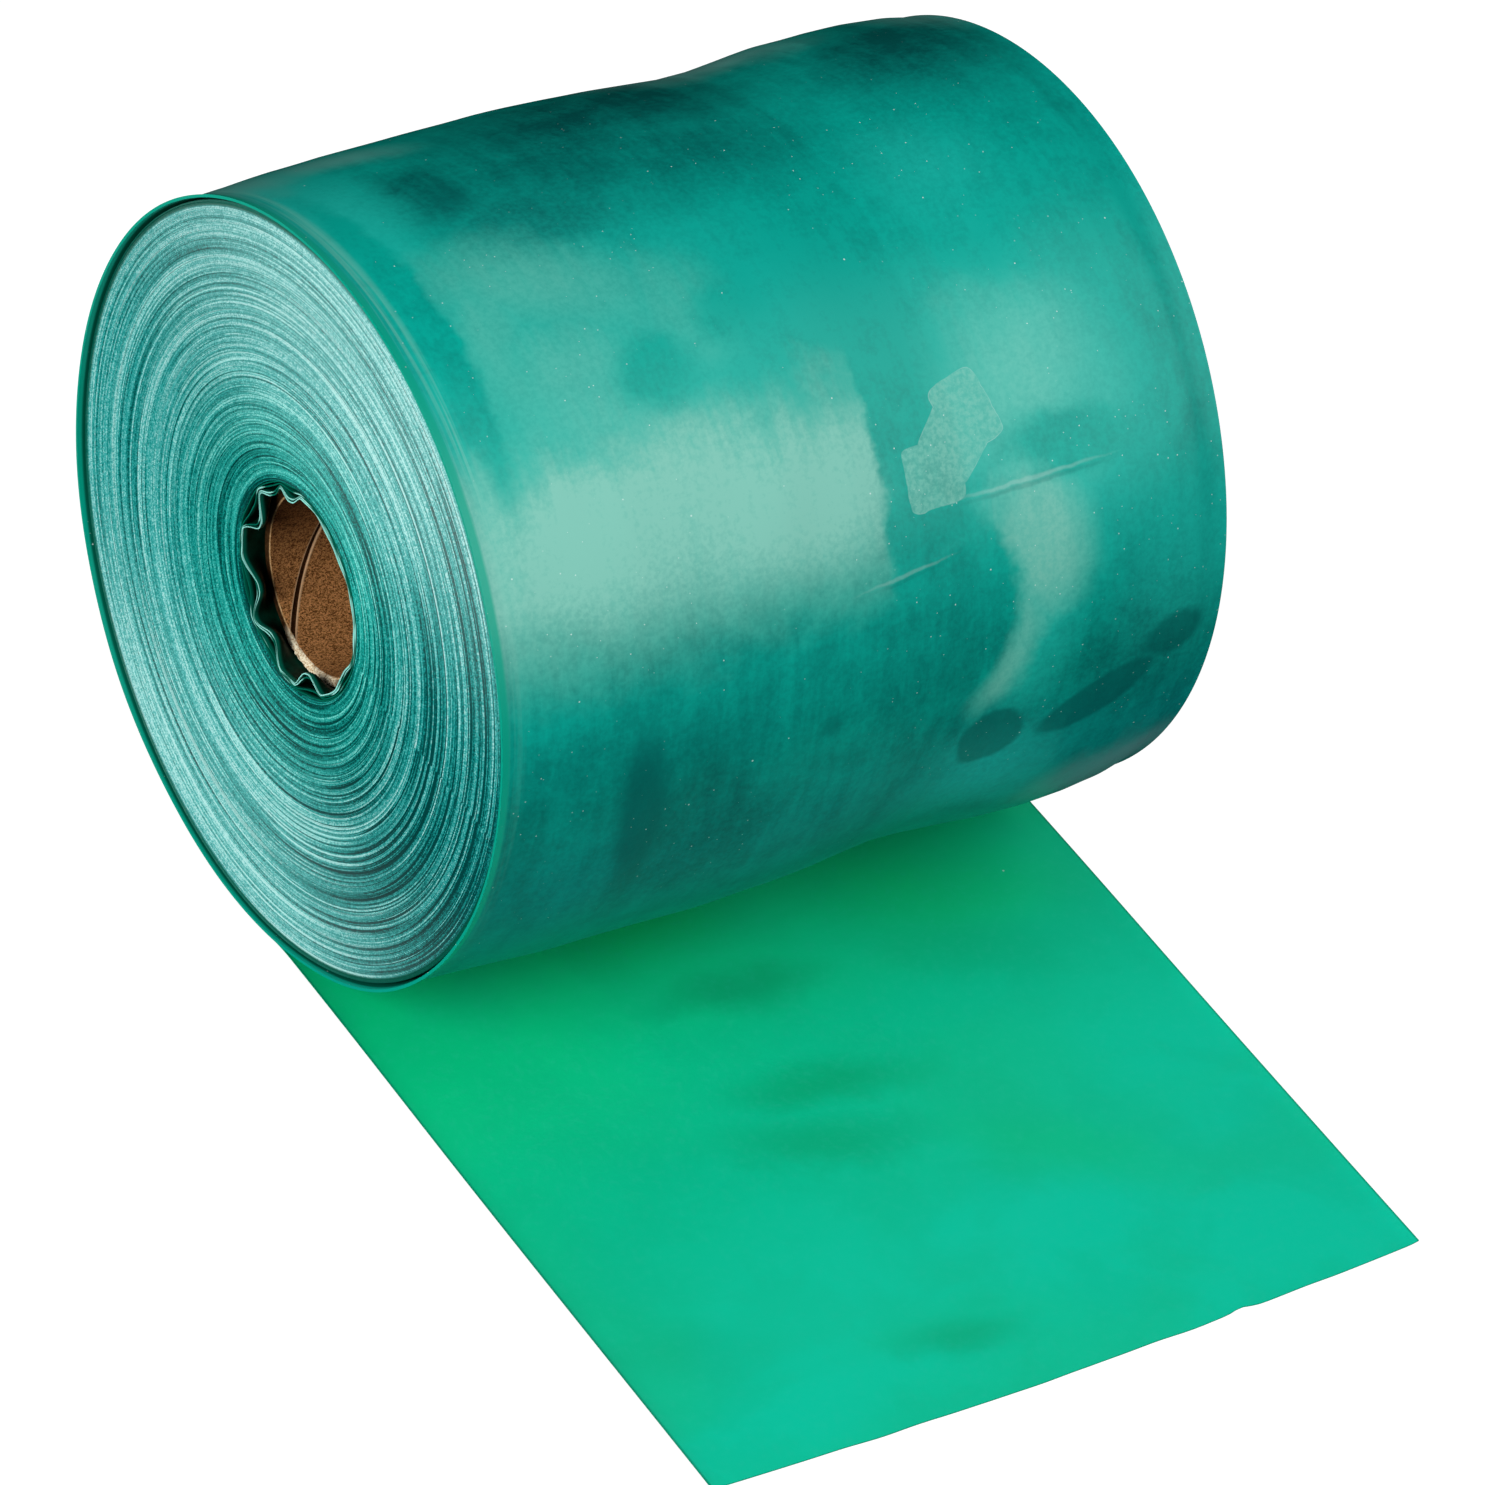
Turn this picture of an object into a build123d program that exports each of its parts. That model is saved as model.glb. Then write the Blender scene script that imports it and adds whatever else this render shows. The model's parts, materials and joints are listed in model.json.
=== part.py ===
"""Supply roll of flat latex exercise band, lying on its side with its free end pulled out.

Lengths are in millimetres. The origin is the middle of the core's bore. +X runs along the
roll's axis, the free end lies on the floor towards -Y, and +Z is up.
"""

from build123d import *
import math
import os

# Driving dimensions of the band and the roll
BAND_WIDTH = 127.0
BAND_THICKNESS = 0.23
ROLL_RADIUS = 60.0  # from the axis to the floor
CORE_BORE_RADIUS = 14.0
CORE_LENGTH = 116.0  # the core ends inside the roll at both mouths

# Core: spirally wound paper plies, glued one over the other
PLY_NAMES = ["core_inner_ply", "core_middle_ply", "core_outer_ply"]
PLY_THICKNESS = 0.5
GLUE_LINE = 0.04
SEAM_GAP = 0.9  # butt gap between the edges of one paper strip
SEAM_PITCH = 49.0
SEAM_RUNOUT = 3.0  # the seam is cut a little past both ends of the core
SEAM_RIM_ANGLE = -72.0  # where the inner ply's seam meets the rim at -X, from +Y towards +Z

# Double-sided tape that holds the first turn of band to the core
TAPE_THICKNESS = 0.1
TAPE_WIDTH = 19.0
TAPE_LENGTH = 110.0

# Turns of the roll
LAYER_GAP = 0.03
INNER_TURNS_THICKNESS = 1.0
HUB_DISH = 1.5  # how far the end faces sink in at the hub
DISH_RADIUS = 27.0
OUTER_TURNS_THICKNESS = 0.5
OUTER_TURNS_SHIFT = -0.6  # the last turns stand proud of the face at -X
CONTACT_GAP = 0.07  # between the roll and the band that it stands on

# Free end: distances from the roll's axis, along -Y
CONTACT_HALF_LENGTH = 5.0
LAID_BAND_START = 25.0
LAID_BAND_END = 40.0
STRETCH_END = 70.0
PANEL_LENGTH = 13.0
PANEL_COUNT = 5
PANEL_GAP = 0.05
CUT_END_BOW = 1.5  # the scissor cut is slightly bowed outwards

FLOOR = -ROLL_RADIUS
WOUND_RADIUS = ROLL_RADIUS - BAND_THICKNESS - CONTACT_GAP
PLY_COUNT = len(PLY_NAMES)
CORE_OUTER_RADIUS = CORE_BORE_RADIUS + PLY_COUNT * (PLY_THICKNESS + GLUE_LINE) - GLUE_LINE
TAPE_INNER_RADIUS = CORE_OUTER_RADIUS + LAYER_GAP
INNER_TURNS_RADIUS = TAPE_INNER_RADIUS + TAPE_THICKNESS + LAYER_GAP
BAND_PACK_RADIUS = INNER_TURNS_RADIUS + INNER_TURNS_THICKNESS + LAYER_GAP
OUTER_TURNS_RADIUS = WOUND_RADIUS - OUTER_TURNS_THICKNESS


def write(piece, label):
    """Label a finished piece and write it as one STEP file."""
    piece.part.label = label
    export_step(piece.part, f"parts/{label}.step")


def core_ply(index):
    """Wind one paper ply: a thin tube with a helical butt seam from end to end."""
    inner = CORE_BORE_RADIUS + index * (PLY_THICKNESS + GLUE_LINE)
    outer = inner + PLY_THICKNESS
    start = -CORE_LENGTH / 2
    with BuildPart() as ply:
        with BuildSketch(Plane.YZ.offset(start)):
            Circle(outer)
            Circle(inner, mode=Mode.SUBTRACT)
        extrude(amount=CORE_LENGTH)
        with BuildLine() as seam:
            Helix(
                pitch=SEAM_PITCH,
                height=CORE_LENGTH + 2 * SEAM_RUNOUT,
                radius=(inner + outer) / 2,
                center=(start - SEAM_RUNOUT, 0, 0),
                direction=(1, 0, 0),
            )
        seam_start = seam.line @ 0
        seam_start_angle = math.degrees(math.atan2(seam_start.Z, seam_start.Y))
        outward = Vector(0, seam_start.Y, seam_start.Z)
        with BuildSketch(Plane(origin=seam_start, x_dir=outward, z_dir=seam.line % 0)):
            Rectangle(2 * PLY_THICKNESS, SEAM_GAP)
        sweep(path=seam.line, is_frenet=True, mode=Mode.SUBTRACT)
    runout_angle = 360 * SEAM_RUNOUT / SEAM_PITCH
    rim_angle = SEAM_RIM_ANGLE + index * 360 / PLY_COUNT
    ply.part = ply.part.rotate(Axis.X, rim_angle - runout_angle - seam_start_angle)
    write(ply, PLY_NAMES[index])


def start_tape():
    """Lay the starting tape along the core, under the first turn of band."""
    half_angle = math.degrees(TAPE_WIDTH / TAPE_INNER_RADIUS) / 2
    outer = TAPE_INNER_RADIUS + TAPE_THICKNESS
    with BuildPart() as tape:
        with BuildSketch(Plane.YZ.offset(-TAPE_LENGTH / 2)):
            with BuildLine():
                under = CenterArc((0, 0), TAPE_INNER_RADIUS, 90 - half_angle, 2 * half_angle)
                over = CenterArc((0, 0), outer, 90 - half_angle, 2 * half_angle)
                Line(under @ 0, over @ 0)
                Line(under @ 1, over @ 1)
            make_face()
        extrude(amount=TAPE_LENGTH)
    write(tape, "start_tape")


def inner_turns():
    """Make the first loose turns of band, whose edges overhang the short core."""
    half_width = BAND_WIDTH / 2 - HUB_DISH
    with BuildPart() as turns:
        with BuildSketch(Plane.YZ.offset(-half_width)):
            Circle(INNER_TURNS_RADIUS + INNER_TURNS_THICKNESS)
            Circle(INNER_TURNS_RADIUS, mode=Mode.SUBTRACT)
        extrude(amount=2 * half_width)
    write(turns, "inner_turns")


def wound_band():
    """Make the tightly wound body of the roll, with both end faces dished at the hub."""
    half_width = BAND_WIDTH / 2
    hub_half_width = half_width - HUB_DISH
    outer = OUTER_TURNS_RADIUS - LAYER_GAP
    with BuildPart() as band:
        with BuildSketch(Plane.XY):
            with BuildLine():
                Polyline(
                    (-hub_half_width, BAND_PACK_RADIUS),
                    (-half_width, DISH_RADIUS),
                    (-half_width, outer),
                    (half_width, outer),
                    (half_width, DISH_RADIUS),
                    (hub_half_width, BAND_PACK_RADIUS),
                    close=True,
                )
            make_face()
        revolve(axis=Axis.X)
    write(band, "wound_band")


def outer_turns():
    """Make the last two turns, which have crept a little towards -X."""
    with BuildPart() as turns:
        with BuildSketch(Plane.YZ.offset(OUTER_TURNS_SHIFT - BAND_WIDTH / 2)):
            Circle(WOUND_RADIUS)
            Circle(OUTER_TURNS_RADIUS, mode=Mode.SUBTRACT)
        extrude(amount=BAND_WIDTH)
    write(turns, "outer_turns")


def band_panel(near, far, label):
    """Lay one flat length of band on the floor, between two distances from the axis."""
    with BuildPart() as panel:
        with BuildSketch(Plane.XY.offset(FLOOR)):
            with Locations((0, -(near + far) / 2)):
                Rectangle(BAND_WIDTH, far - near - PANEL_GAP)
        extrude(amount=BAND_THICKNESS)
    write(panel, label)


def loose_end(near, far):
    """Lay the last panel, whose end is cut by hand in a slight bow."""
    edge = BAND_WIDTH / 2
    with BuildPart() as end:
        with BuildSketch(Plane.XY.offset(FLOOR)):
            with BuildLine():
                Polyline(
                    (-edge, -far),
                    (-edge, -near - PANEL_GAP / 2),
                    (edge, -near - PANEL_GAP / 2),
                    (edge, -far),
                )
                ThreePointArc((-edge, -far), (0, -far - CUT_END_BOW), (edge, -far))
            make_face()
        extrude(amount=BAND_THICKNESS)
    write(end, "loose_end")


def free_band():
    """Lay the band from under the roll out to its cut end."""
    band_panel(-CONTACT_HALF_LENGTH, CONTACT_HALF_LENGTH, "contact_band")
    band_panel(CONTACT_HALF_LENGTH, LAID_BAND_START, "paid_out_span")
    band_panel(LAID_BAND_START, LAID_BAND_END, "laid_band")
    band_panel(LAID_BAND_END, STRETCH_END, "stretch_span")
    for index in range(PANEL_COUNT - 1):
        near = STRETCH_END + index * PANEL_LENGTH
        band_panel(near, near + PANEL_LENGTH, f"tail_panel_{index + 1}")
    last = STRETCH_END + (PANEL_COUNT - 1) * PANEL_LENGTH
    loose_end(last, last + PANEL_LENGTH)


os.makedirs("parts", exist_ok=True)
for ply_index in range(PLY_COUNT):
    core_ply(ply_index)
start_tape()
inner_turns()
wound_band()
outer_turns()
free_band()
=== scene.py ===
"""Looks of the latex band roll: wound turns, loose inner turns, paper core and free end.

Everything is in metres in the CAD frame: +X along the roll's axis, the free end towards -Y,
+Z up, and the origin in the middle of the core's bore.
"""

import json
import math

import bmesh
import bpy
import numpy as np
from mathutils import Matrix, Vector


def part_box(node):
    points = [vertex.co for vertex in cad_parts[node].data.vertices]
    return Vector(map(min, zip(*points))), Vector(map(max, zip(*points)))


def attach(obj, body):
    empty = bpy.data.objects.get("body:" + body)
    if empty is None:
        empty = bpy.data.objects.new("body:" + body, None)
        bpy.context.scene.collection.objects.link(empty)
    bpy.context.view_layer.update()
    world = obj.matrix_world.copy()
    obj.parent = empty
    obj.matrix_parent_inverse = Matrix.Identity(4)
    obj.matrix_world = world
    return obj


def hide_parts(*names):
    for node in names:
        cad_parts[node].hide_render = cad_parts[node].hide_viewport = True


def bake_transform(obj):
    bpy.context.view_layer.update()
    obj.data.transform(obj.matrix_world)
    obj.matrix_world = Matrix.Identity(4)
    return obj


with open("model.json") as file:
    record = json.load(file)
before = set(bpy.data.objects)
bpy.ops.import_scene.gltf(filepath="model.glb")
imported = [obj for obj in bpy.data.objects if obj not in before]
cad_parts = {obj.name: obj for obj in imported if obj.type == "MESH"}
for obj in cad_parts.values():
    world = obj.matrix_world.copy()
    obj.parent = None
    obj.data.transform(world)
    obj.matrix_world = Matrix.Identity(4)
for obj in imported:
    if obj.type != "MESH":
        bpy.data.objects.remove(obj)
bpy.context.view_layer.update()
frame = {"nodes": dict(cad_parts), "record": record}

MM = 0.001
TURN = 2 * math.pi

# Sizes read from the CAD frame
FLOOR_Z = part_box("laid_band")[0].z
BAND_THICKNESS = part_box("laid_band")[1].z - FLOOR_Z
BAND_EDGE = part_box("laid_band")[1].x
FACE_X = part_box("wound_band")[1].x
WOUND_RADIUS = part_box("wound_band")[1].z
SKIN_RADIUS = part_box("outer_turns")[1].z
SKIN_NEAR_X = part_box("outer_turns")[0].x
INNER_TURNS_OUTER_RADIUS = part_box("inner_turns")[1].z
INNER_TURNS_FACE_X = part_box("inner_turns")[1].x
CORE_OUTER_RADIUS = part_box("core_outer_ply")[1].z
CORE_BORE_RADIUS = frame["record"]["mounts"][0]["dims"]["r_mm"] * MM
CORE_END_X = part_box("core_inner_ply")[1].x
CONTACT_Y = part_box("contact_band")[0].y
LAID_FROM_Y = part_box("laid_band")[1].y
LAID_TO_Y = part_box("laid_band")[0].y
CUT_END_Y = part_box("loose_end")[0].y
TAIL_PANELS = ["tail_panel_1", "tail_panel_2", "tail_panel_3", "tail_panel_4", "loose_end"]

# The end faces
HUB_RADIUS = INNER_TURNS_OUTER_RADIUS + 0.03 * MM
HUB_DISH = 1.5 * MM
DISH_RADIUS = 30 * MM
FACE_STEPS = 250
GROOVE_DEPTH = 0.10 * MM


# ------------------------ mesh helpers

def grid_mesh(name, points, wrap_rows=False, wrap_columns=False, smooth=True):
    """Make a piece from a grid of points, closed round its rows or its columns where asked."""
    rows, columns, _ = points.shape
    index = np.arange(rows * columns).reshape(rows, columns)
    if wrap_rows:
        index = np.vstack([index, index[:1]])
    if wrap_columns:
        index = np.hstack([index, index[:, :1]])
    corners = [index[:-1, :-1], index[1:, :-1], index[1:, 1:], index[:-1, 1:]]
    quads = np.stack(corners, axis=-1).reshape(-1, 4)
    mesh = bpy.data.meshes.new(name)
    mesh.from_pydata(points.reshape(-1, 3).tolist(), [], quads.tolist())
    mesh.polygons.foreach_set("use_smooth", [smooth] * len(mesh.polygons))
    mesh.update()
    piece = bpy.data.objects.new(name, mesh)
    bpy.context.scene.collection.objects.link(piece)
    return piece


def tidy_mesh(piece, weld=1e-7):
    """Weld points that coincide and turn every face outwards."""
    work = bmesh.new()
    work.from_mesh(piece.data)
    bmesh.ops.remove_doubles(work, verts=work.verts, dist=weld)
    bmesh.ops.recalc_face_normals(work, faces=work.faces)
    work.to_mesh(piece.data)
    work.free()


def sharpen(piece, degrees=40):
    """Keep edges crisp where a smooth surface turns a corner."""
    piece.data.set_sharp_from_angle(angle=math.radians(degrees))


def smoothstep(low, high, value):
    """0 below low, 1 above high, with a smooth change between them."""
    t = np.clip((value - low) / (high - low), 0, 1)
    return t * t * (3 - 2 * t)


NOISE_VALUES = 4096


def value_noise(position, seed):
    """Smooth random values between -1 and 1, one new value for each whole step of position."""
    table = np.random.default_rng(seed).uniform(-1, 1, NOISE_VALUES)
    whole = np.floor(position).astype(int)
    t = position - whole
    t = t * t * (3 - 2 * t)
    return table[whole % NOISE_VALUES] * (1 - t) + table[(whole + 1) % NOISE_VALUES] * t


def ring_wobble(angle, orders, seed):
    """A smooth closed wobble round the roll, between about -1 and 1."""
    source = np.random.default_rng(seed)
    total = np.zeros_like(angle)
    for order in orders:
        total += source.uniform(0.4, 1) * np.cos(order * angle + source.uniform(0, TURN))
    return total / len(orders)


def round_roll(x, radius, angle):
    """Points at a place along the axis, a radius, and an angle from +Y towards +Z."""
    x, radius, angle = np.broadcast_arrays(x, radius, angle)
    return np.stack([x, radius * np.cos(angle), radius * np.sin(angle)], axis=-1)


# ------------------------ material helpers

class Shader:
    """A node material under construction."""

    def __init__(self, name, **settings):
        self.material = bpy.data.materials.new(name)
        self.material.use_nodes = True
        self.nodes = self.material.node_tree.nodes
        self.links = self.material.node_tree.links
        self.surface = self.nodes["Principled BSDF"]
        for socket, value in settings.items():
            self.surface.inputs[socket.replace("_", " ")].default_value = value

    def feed(self, socket, value):
        if isinstance(value, bpy.types.NodeSocket):
            self.links.new(value, socket)
        else:
            socket.default_value = value

    def node(self, kind, inputs, output=0, **settings):
        made = self.nodes.new(kind)
        for key, value in settings.items():
            setattr(made, key, value)
        for key, value in inputs.items():
            self.feed(made.inputs[key], value)
        return made.outputs[output]

    def math(self, operation, *values):
        return self.node("ShaderNodeMath", dict(enumerate(values)), operation=operation)

    def vector_math(self, operation, *values, output=0):
        inputs = dict(enumerate(values))
        return self.node("ShaderNodeVectorMath", inputs, output, operation=operation)

    def length(self, vector):
        return self.vector_math("LENGTH", vector, output=1)

    def minus(self, first, second):
        return self.math("SUBTRACT", first, second)

    def times(self, first, *others):
        for value in others:
            first = self.math("MULTIPLY", first, value)
        return first

    def plus(self, first, *others):
        for value in others:
            first = self.math("ADD", first, value)
        return first

    def colour_mix(self, amount, first, second, blend="MIX"):
        return self.node(
            "ShaderNodeMix",
            {0: amount, 6: first, 7: second},
            output=2,
            data_type="RGBA",
            blend_type=blend,
        )

    def lay(self, amount, colour, blend="MIX"):
        """Lay a colour over the ones so far, by an amount from 0 to 1."""
        self.tone = self.colour_mix(amount, self.tone, colour, blend)

    def step(self, value, low, high, to_low=0.0, to_high=1.0):
        inputs = {0: value, 1: low, 2: high, 3: to_low, 4: to_high}
        return self.node("ShaderNodeMapRange", inputs, interpolation_type="SMOOTHSTEP")

    def noise(self, vector, size=1, detail=3.0, roughness=0.55, distortion=0.0):
        """Noise over a vector, which is first scaled where a size is given."""
        inputs = {
            "Vector": vector if size == 1 else self.scaled(vector, size),
            "Scale": 1.0,
            "Detail": detail,
            "Roughness": roughness,
            "Distortion": distortion,
        }
        return self.node("ShaderNodeTexNoise", inputs)

    def scaled(self, vector, scale):
        """A vector times one number, or times a number for each axis."""
        scale = scale if isinstance(scale, tuple) else (scale, scale, scale)
        return self.node("ShaderNodeMapping", {"Vector": vector, "Scale": scale})

    def xyz(self, vector):
        """The three parts of a vector."""
        return self.node("ShaderNodeSeparateXYZ", {0: vector}).node.outputs

    def place(self):
        return self.node("ShaderNodeTexCoord", {}, output=3)

    def rest_place(self):
        return self.node("ShaderNodeAttribute", {}, output=1, attribute_name="rest_place")

    def specks(self, vector, spacing, radius, share):
        """Small round flecks of dust: 1 inside a fleck and 0 outside."""
        inputs = {"Vector": vector, "Scale": 1 / spacing, "Randomness": 1.0}
        distance = self.node("ShaderNodeTexVoronoi", inputs)
        chosen = self.node("ShaderNodeSeparateColor", {0: distance.node.outputs["Color"]})
        size = self.times(chosen, radius / spacing / share)
        inside = self.math("LESS_THAN", distance, size)
        rare = self.math("LESS_THAN", chosen, share)
        return self.times(inside, rare)

    def colour(self, value):
        self.feed(self.surface.inputs["Base Color"], value)

    def roughness(self, value):
        self.feed(self.surface.inputs["Roughness"], value)

    def bump(self, height, distance, strength=1.0):
        inputs = {"Height": height, "Distance": distance, "Strength": strength}
        self.feed(self.surface.inputs["Normal"], self.node("ShaderNodeBump", inputs))


def unrolled(shader, place):
    """(x, arc) of a point on the roll in millimetres; arc is 0 on top and grows towards -Y."""
    x, y, z = shader.xyz(place)
    angle = shader.math("ARCTAN2", shader.times(y, -1.0), z)
    arc = shader.times(angle, SKIN_RADIUS / MM)
    return shader.times(x, 1 / MM), arc


# ------------------------ materials

# Colours of the outermost turn
ROLL_CLEAR = (0.0002, 0.41, 0.328, 1)
ROLL_DARK = (0.0002, 0.115, 0.105, 1)
HAZE = (0.012, 0.49, 0.405, 1)
# Pale haze, which in the belt round the roll's front is also a painted sheen
MILKY_HAZE_AND_SHEEN = (0.22, 0.58, 0.475, 1)
EDGE_GREEN = (0.001, 0.43, 0.29, 1)
LATEX_SHINE = (0.5, 1.0, 0.95, 1)
# Pale dust, also the painted highlight of the creases
DUST_AND_HIGHLIGHT = (0.62, 0.80, 0.76, 1)
PAINTED_GLINT = (0.27, 0.50, 0.46, 1)
LIP_SHADE = (0.0003, 0.12, 0.075, 1)
UNDERSIDE_TINT = (1.0, 0.93, 1.13, 1)  # a multiplier, against the green light off the free end

# Partly haze, partly a painted sheen where the key light's reflection falls
# The pale belt round the roll's front: where it fades in and out, in mm of arc, and at what x
MILKY_SHEEN_BELT_TOP = (31, 45)
MILKY_SHEEN_BELT_BOTTOM = (55, 74)
MILKY_SHEEN_BELT_SIDE = (2, 4)

# Soft patches of the outermost turn. Each is x, arc, half length, half arc, tilt in degrees,
# softness of its border, and strength; x and arc are in mm, and arc is 0 on top of the roll.
MILKY_AND_SHEEN_PATCHES = [
    (-38, 13, 15, 7, -28, 0.9, 0.31),
    (-40, 28, 12, 7, 0, 0.9, 0.28),
    (-48, 18, 5, 13, -14, 0.8, 0.25),
    (-19, 21, 6, 7, 0, 0.9, 0.2),
    (-46, 48, 15, 10, 0, 0.9, 0.4),
    (-12, 51, 14, 9, 0, 0.9, 0.4),
    (31, 44, 11, 11, 0, 0.9, 0.45),
    (28, 67, 8, 11, 10, 0.6, 0.75),
    (24, 84, 5, 10, -14, 0.6, 0.6),
]
BLISTER = [  # a flat air bubble
    (20.4, 46.8, 4.5, 5.6, 16, 0.06, 1.0),
    (16.8, 50.6, 4.6, 5.2, 45, 0.06, 1.0),
    (12.3, 54.5, 5.2, 4.8, 0, 0.06, 1.0),
]
HAZE_PATCHES = [
    (-40, 22, 27, 20, 0, 0.9, 0.7),
    (-57, -14, 8, 20, 0, 0.9, 0.9),
    (-20, 12, 14, 8, 0, 0.9, 0.4),
    (33, 50, 18, 22, 0, 0.7, 0.75),
    (26, 76, 9, 21, 4, 0.5, 0.85),
    (32, 10, 9, 7, 0, 0.9, 0.55),
    (27, 112, 11, 9, 0, 0.9, 0.7),
    (55, 78, 10, 13, 0, 0.9, 0.5),
    (-5, 155, 40, 18, 5, 0.8, 0.7),
    (20, -75, 34, 16, -6, 0.8, 0.7),
    (-35, -110, 22, 14, 8, 0.8, 0.6),
    (25, -140, 26, 12, 0, 0.8, 0.6),
]
CLEAR_PATCHES = [  # no haze and no painted sheen here, to the right of the pale belt
    (8.5, 45, 6.0, 28, 10, 0.35, 1.0),
    (5, 77, 21, 21, 0, 0.10, 1.0),
    (36, 54.5, 10, 5.0, -6, 0.4, 0.9),
]
WINDOWS = [  # small clear places in the haze
    (-57.2, 11, 3.4, 31, 1, 0.3, 1.0),
    (-27.5, 29.5, 6.5, 5.2, 15, 0.5, 0.95),
    (-12, 23, 6, 4.6, 20, 0.6, 0.85),
    (58, 47, 3.0, 8, 10, 0.5, 0.8),
]
# Partly mottling where the turn sticks, partly painted shade: the large patches darken the top and
# the bottom of the roll
DARK_AND_SHADE_PATCHES = [
    (-42, -12, 7, 9, -20, 0.8, 0.75),
    (-31, 0, 12, 8, -10, 0.7, 0.75),
    (-24, -12, 18, 16, 10, 0.9, 0.6),
    (-12, -24, 22, 13, 10, 0.9, 0.75),
    (2, -28, 14, 14, 0, 0.9, 0.9),
    (-2, -7, 17, 9, 0, 0.9, 0.55),
    (46, -22, 15, 15, 0, 0.9, 0.85),
    (-30, 104, 36, 30, 0, 0.9, 0.6),
    (4, 116, 62, 28, 0, 0.9, 0.6),
    (48, 92, 18, 15, 0, 0.9, 0.6),
    (10, 180, 50, 16, 0, 0.8, 0.5),
    (-10, -62, 46, 14, 6, 0.8, 0.6),
    (-20, -160, 40, 16, 0, 0.8, 0.6),
]
DARK_SPOTS = [  # with a firmer border than the dark patches
    (-39.5, 95, 4.0, 14, 4, 0.5, 0.75),
    (24.5, 102, 5.8, 5.6, 20, 0.12, 0.72),
    (42.0, 98.5, 10.4, 3.6, 28, 0.16, 0.74),
    (54.5, 90, 5.6, 3.8, 8, 0.25, 0.66),
    (-8, 88, 1.6, 2.0, 0, 0.5, 0.45),
    (-39.5, -10, 3.0, 3.4, 0, 0.6, 0.4),
]
PAINTED_GLINT_PATCHES = [  # painted glints: pale reflections near the silhouettes
    (21, -43, 14, 8, 0, 0.9, 0.55),
    (60, -42, 7, 12, 0, 0.9, 0.45),
    (-60, -42, 7, 10, 0, 0.9, 0.4),
    (-45, -36, 9, 5, -30, 0.9, 0.35),
    (54, 122, 12, 8, 0, 0.7, 0.6),
]
# Fine creases, each a painted highlight beside a painted shade: x, arc, half length, half width, tilt
# in degrees, softness, and strength
CREASE_HIGHLIGHT = [
    (28, 58.7, 11, 0.30, 2, 0.6, 0.20),
    (5, 67.4, 7, 0.26, 5, 0.6, 0.16),
]
CREASE_SHADE = [
    (29, 59.5, 11, 0.36, 2, 0.6, 0.28),
    (5, 68.1, 7, 0.30, 5, 0.6, 0.18),
]


def patches(shader, x, arc, listed, boxy=False):
    """How strongly the listed soft patches cover each point, from 0 to 1."""
    total = 0.0
    for centre_x, centre_arc, half_x, half_arc, tilt, softness, strength in listed:
        moved_x = shader.minus(x, float(centre_x))
        moved_arc = shader.minus(arc, float(centre_arc))
        flat = shader.node("ShaderNodeCombineXYZ", {0: moved_x, 1: moved_arc})
        turned = shader.node(
            "ShaderNodeVectorRotate",
            {"Vector": flat, "Angle": math.radians(tilt)},
            rotation_type="Z_AXIS",
        )
        shape = shader.scaled(turned, (1 / half_x, 1 / half_arc, 1))
        for _ in range(2 if boxy else 0):
            shape = shader.vector_math("MULTIPLY", shape, shape)
        inside = shader.step(shader.length(shape), 1 - softness, 1 + softness, strength, 0.0)
        total = shader.math("MAXIMUM", total, inside)
    return total


def facing_axis(shader, place):
    """1 where a surface faces the roll's axis, and 0 where it faces away."""
    outward = shader.vector_math("NORMALIZE", shader.scaled(place, (0, 1, 1)))
    normal = shader.node("ShaderNodeTexCoord", {}, output=1)
    along = shader.vector_math("DOT_PRODUCT", outward, normal, output=1)
    return shader.step(along, -0.7, -0.3, 1.0, 0.0)


# How far noise pushes the patches about, in mm
SWAY = 18.0
SMEAR = 4.5
JITTER = 5.0


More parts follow.
